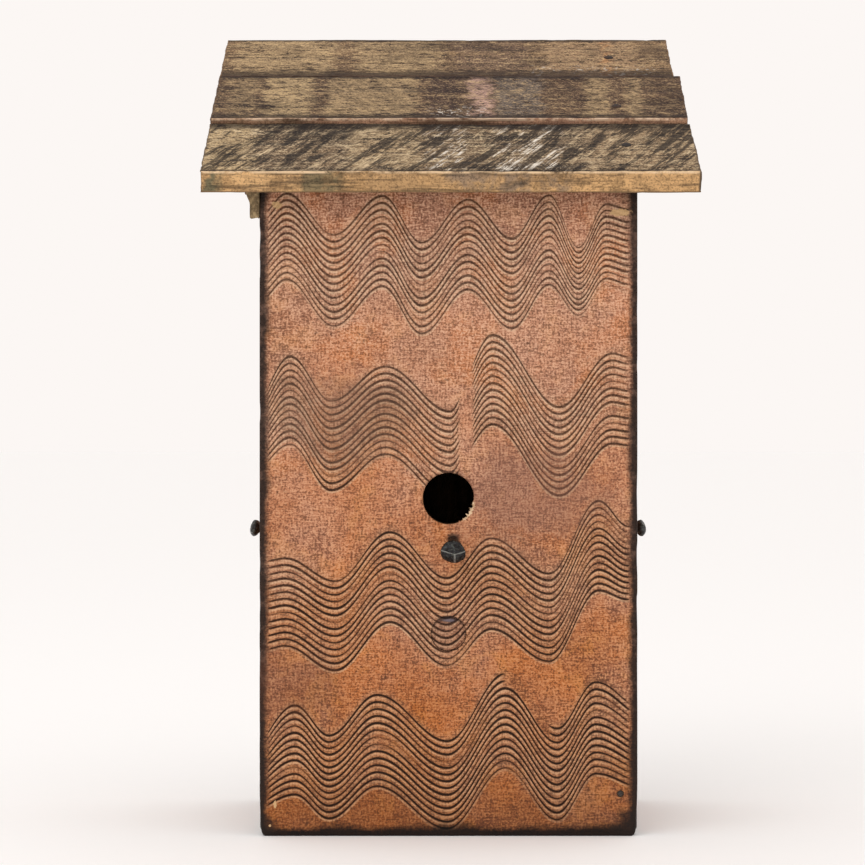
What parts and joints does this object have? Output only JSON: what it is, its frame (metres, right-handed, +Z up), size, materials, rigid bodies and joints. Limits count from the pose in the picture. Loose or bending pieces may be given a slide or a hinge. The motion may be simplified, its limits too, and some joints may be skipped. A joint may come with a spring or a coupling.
{
  "type": "birdhouse",
  "caption": "Tall wooden birdhouse with a lean-to board roof, a round entrance over a nail perch, and a side wall that swings out for cleaning.",
  "frame": {"origin": "middle of the base, on the underside of the floor board, which is level with the lower edges of the front and back boards", "axes": "+Z up; the front with the entrance hole looks along -Y; the swinging side wall is on the -X side"},
  "size_m": [0.275, 0.202, 0.4671],
  "materials": {
    "front_paint": "copper-brown paint, combed into waves and waxed",
    "side_paint": "copper-brown paint, combed into waves and waxed",
    "back_wood": "dark stain, worn at the edges",
    "floor_wood": "bare pine",
    "roof_front_wood": "weathered board with saw marks",
    "roof_middle_wood": "weathered board with pale patches",
    "roof_rear_wood": "weathered board",
    "cleat_wood": "olive-brown weathered wood",
    "forged_iron": "hammered black iron",
    "nail_steel": "dull steel",
    "rusty_nail": "rusted steel",
    "zinc_steel": "dull zinc"
  },
  "bodies": {
    "house": {"front_board": "front_paint", "back_board": "back_wood", "right_wall": "side_paint", "floor_board": "floor_wood", "hole_plug": "front_paint", "roof_board_front": "roof_front_wood", "roof_board_middle": "roof_middle_wood", "roof_board_rear": "roof_rear_wood", "roof_cleat": "cleat_wood", "perch_nail": "forged_iron", "right_side_nail": "forged_iron", "front_pivot_nail": "nail_steel", "rear_pivot_nail": "nail_steel", "roof_nails": "rusty_nail", "front_board_nails": "nail_steel", "back_board_nails": "nail_steel", "right_wall_nails": "nail_steel", "cleat_nails": "nail_steel", "cleat_roof_nails": "nail_steel", "latch_washer": "zinc_steel", "latch_screw": "zinc_steel", "hanger_plate": "zinc_steel", "hanger_screws": "zinc_steel"},
    "door": {"side_door": "side_paint", "door_knob_nail": "forged_iron"},
    "latch": {"latch_button": "zinc_steel"}
  },
  "joints": [
    {"name": "door_swing", "type": "hinge", "parent": "house", "child": "door", "pos_m": [-0.0985, 0, 0.34008], "axis": [0, 1, 0], "range_deg": [0, 80]},
    {"name": "latch_turn", "type": "hinge", "parent": "house", "child": "latch", "pos_m": [-0.106, 0.072, 0.062], "axis": [-1, 0, 0], "range_deg": [0, 180]}
  ]
}
